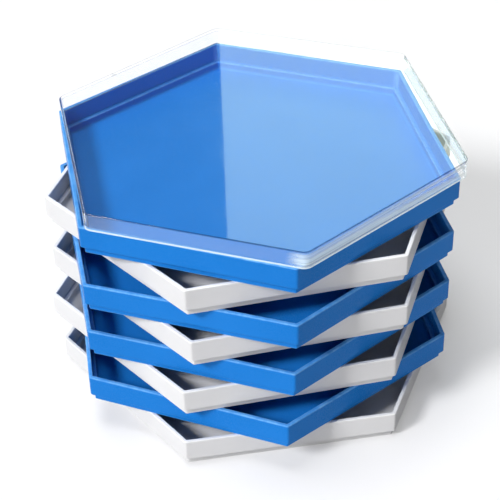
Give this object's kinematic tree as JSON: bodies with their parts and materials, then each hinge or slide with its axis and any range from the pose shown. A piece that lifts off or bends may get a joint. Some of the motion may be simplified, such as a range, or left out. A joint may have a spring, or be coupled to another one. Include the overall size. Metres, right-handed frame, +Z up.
{
  "type": "stack of hexagonal jigsaw sorting trays with lid",
  "caption": "Fanned stack of hexagonal stacking trays in alternating white and blue plastic for sorting and storing jigsaw pieces, with a clear lid resting on the top tray.",
  "frame": {"origin": "centre of the bottom tray's underside, the face that the stack stands on", "axes": "+Z up the stack, +X towards a corner of the bottom tray"},
  "size_m": [0.2574, 0.2562, 0.1613],
  "materials": {
    "white_plastic": "satin moulded",
    "blue_plastic": "satin moulded",
    "clear_plastic": "clear polished"
  },
  "bodies": {
    "bottom_tray": {"tray_1_white": "white_plastic"},
    "tray_2": {"tray_2_blue": "blue_plastic"},
    "tray_3": {"tray_3_white": "white_plastic"},
    "tray_4": {"tray_4_blue": "blue_plastic"},
    "tray_5": {"tray_5_white": "white_plastic"},
    "tray_6": {"tray_6_blue": "blue_plastic"},
    "tray_7": {"tray_7_white": "white_plastic"},
    "tray_8": {"tray_8_blue": "blue_plastic"},
    "lid": {"clear_lid": "clear_plastic"}
  },
  "joints": [
    {"name": "tray_2_lift", "type": "slide", "parent": "bottom_tray", "child": "tray_2", "axis": [0, 0, 1], "range_m": [0, 0.06]},
    {"name": "tray_3_lift", "type": "slide", "parent": "tray_2", "child": "tray_3", "axis": [0, 0, 1], "range_m": [0, 0.06]},
    {"name": "tray_4_lift", "type": "slide", "parent": "tray_3", "child": "tray_4", "axis": [0, 0, 1], "range_m": [0, 0.06]},
    {"name": "tray_5_lift", "type": "slide", "parent": "tray_4", "child": "tray_5", "axis": [0, 0, 1], "range_m": [0, 0.06]},
    {"name": "tray_6_lift", "type": "slide", "parent": "tray_5", "child": "tray_6", "axis": [0, 0, 1], "range_m": [0, 0.06]},
    {"name": "tray_7_lift", "type": "slide", "parent": "tray_6", "child": "tray_7", "axis": [0, 0, 1], "range_m": [0, 0.06]},
    {"name": "tray_8_lift", "type": "slide", "parent": "tray_7", "child": "tray_8", "axis": [0, 0, 1], "range_m": [0, 0.06]},
    {"name": "lid_lift", "type": "slide", "parent": "tray_8", "child": "lid", "axis": [0, 0, 1], "range_m": [0, 0.06]}
  ]
}
